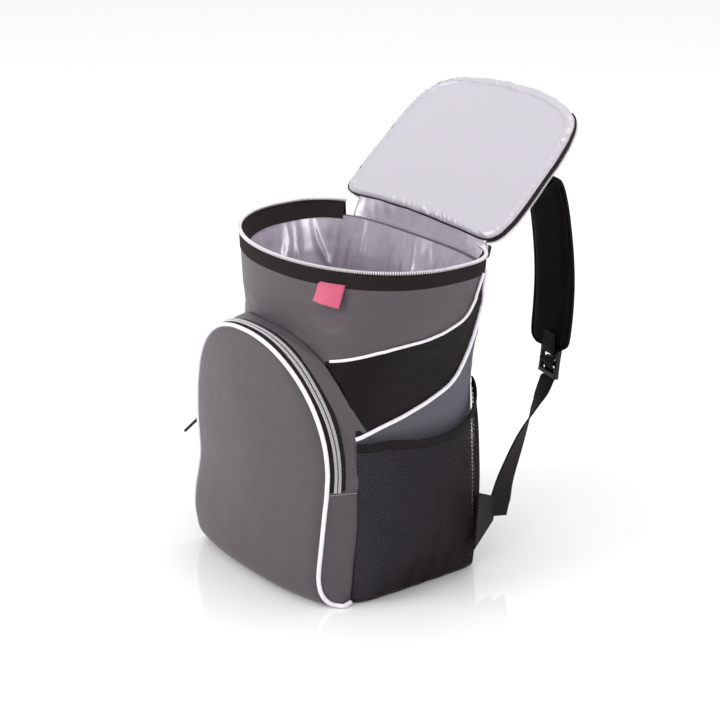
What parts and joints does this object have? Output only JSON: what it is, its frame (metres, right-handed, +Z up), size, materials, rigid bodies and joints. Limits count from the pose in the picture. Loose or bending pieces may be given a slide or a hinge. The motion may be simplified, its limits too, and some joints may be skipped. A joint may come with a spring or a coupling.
{
  "type": "cooler backpack",
  "caption": "Insulated cooler backpack with an open zip-round lid, arched front pocket, net side pockets and padded shoulder straps.",
  "frame": {"origin": "on the floor, at the middle of the main compartment's flat base", "axes": "+Z up, -Y out through the front pocket, +X to the wearer's left-hand side panel as seen from the back"},
  "size_m": [0.2694, 0.3358, 0.4232],
  "materials": {
    "grey_nylon": "coated grey nylon twill",
    "blue_grey_nylon": "coated blue-grey nylon twill",
    "black_nylon": "smooth black coated nylon",
    "silver_lining": "satin silver foil lining",
    "white_piping": "white coated piping",
    "zip_metal": "satin metallised zip chain",
    "zip_tape": "black woven zip tape",
    "pull_cord": "black moulded cord pull",
    "pink_tag": "pink woven tag",
    "black_net": "black warp-knit polyester net",
    "pad_fabric": "black padded polyester",
    "black_plastic": "moulded black acetal",
    "black_webbing": "black ribbed polyester webbing"
  },
  "bodies": {
    "root": {"body_shell": "grey_nylon", "hinge_strip": "grey_nylon", "label": "pink_tag", "ladder_lock_left": "black_plastic", "ladder_lock_right": "black_plastic", "lid": "grey_nylon", "lid_film": "silver_lining", "lid_tape": "zip_tape", "lid_teeth": "zip_metal", "lining": "silver_lining", "mesh_binding_left": "black_webbing", "mesh_binding_right": "black_webbing", "mesh_pocket_left": "black_net", "mesh_pocket_right": "black_net", "pocket_chain": "zip_metal", "pocket_gusset": "grey_nylon", "pocket_panel": "grey_nylon", "pocket_piping": "white_piping", "pocket_pull": "pull_cord", "pocket_slider": "zip_metal", "pocket_tape": "zip_tape", "rim_pull": "pull_cord", "rim_slider": "zip_metal", "rim_tape": "zip_tape", "rim_teeth": "zip_metal", "shoulder_pad_left": "pad_fabric", "shoulder_pad_right": "pad_fabric", "side_panel_black_left": "black_nylon", "side_panel_black_right": "black_nylon", "side_panel_lower_left": "blue_grey_nylon", "side_panel_lower_right": "blue_grey_nylon", "strap_tab_left": "black_webbing", "strap_tab_right": "black_webbing", "strap_web_left": "black_webbing", "strap_web_right": "black_webbing", "swoosh_piping_lower_left": "white_piping", "swoosh_piping_lower_right": "white_piping", "swoosh_piping_upper_left": "white_piping", "swoosh_piping_upper_right": "white_piping"}
  },
  "joints": []
}
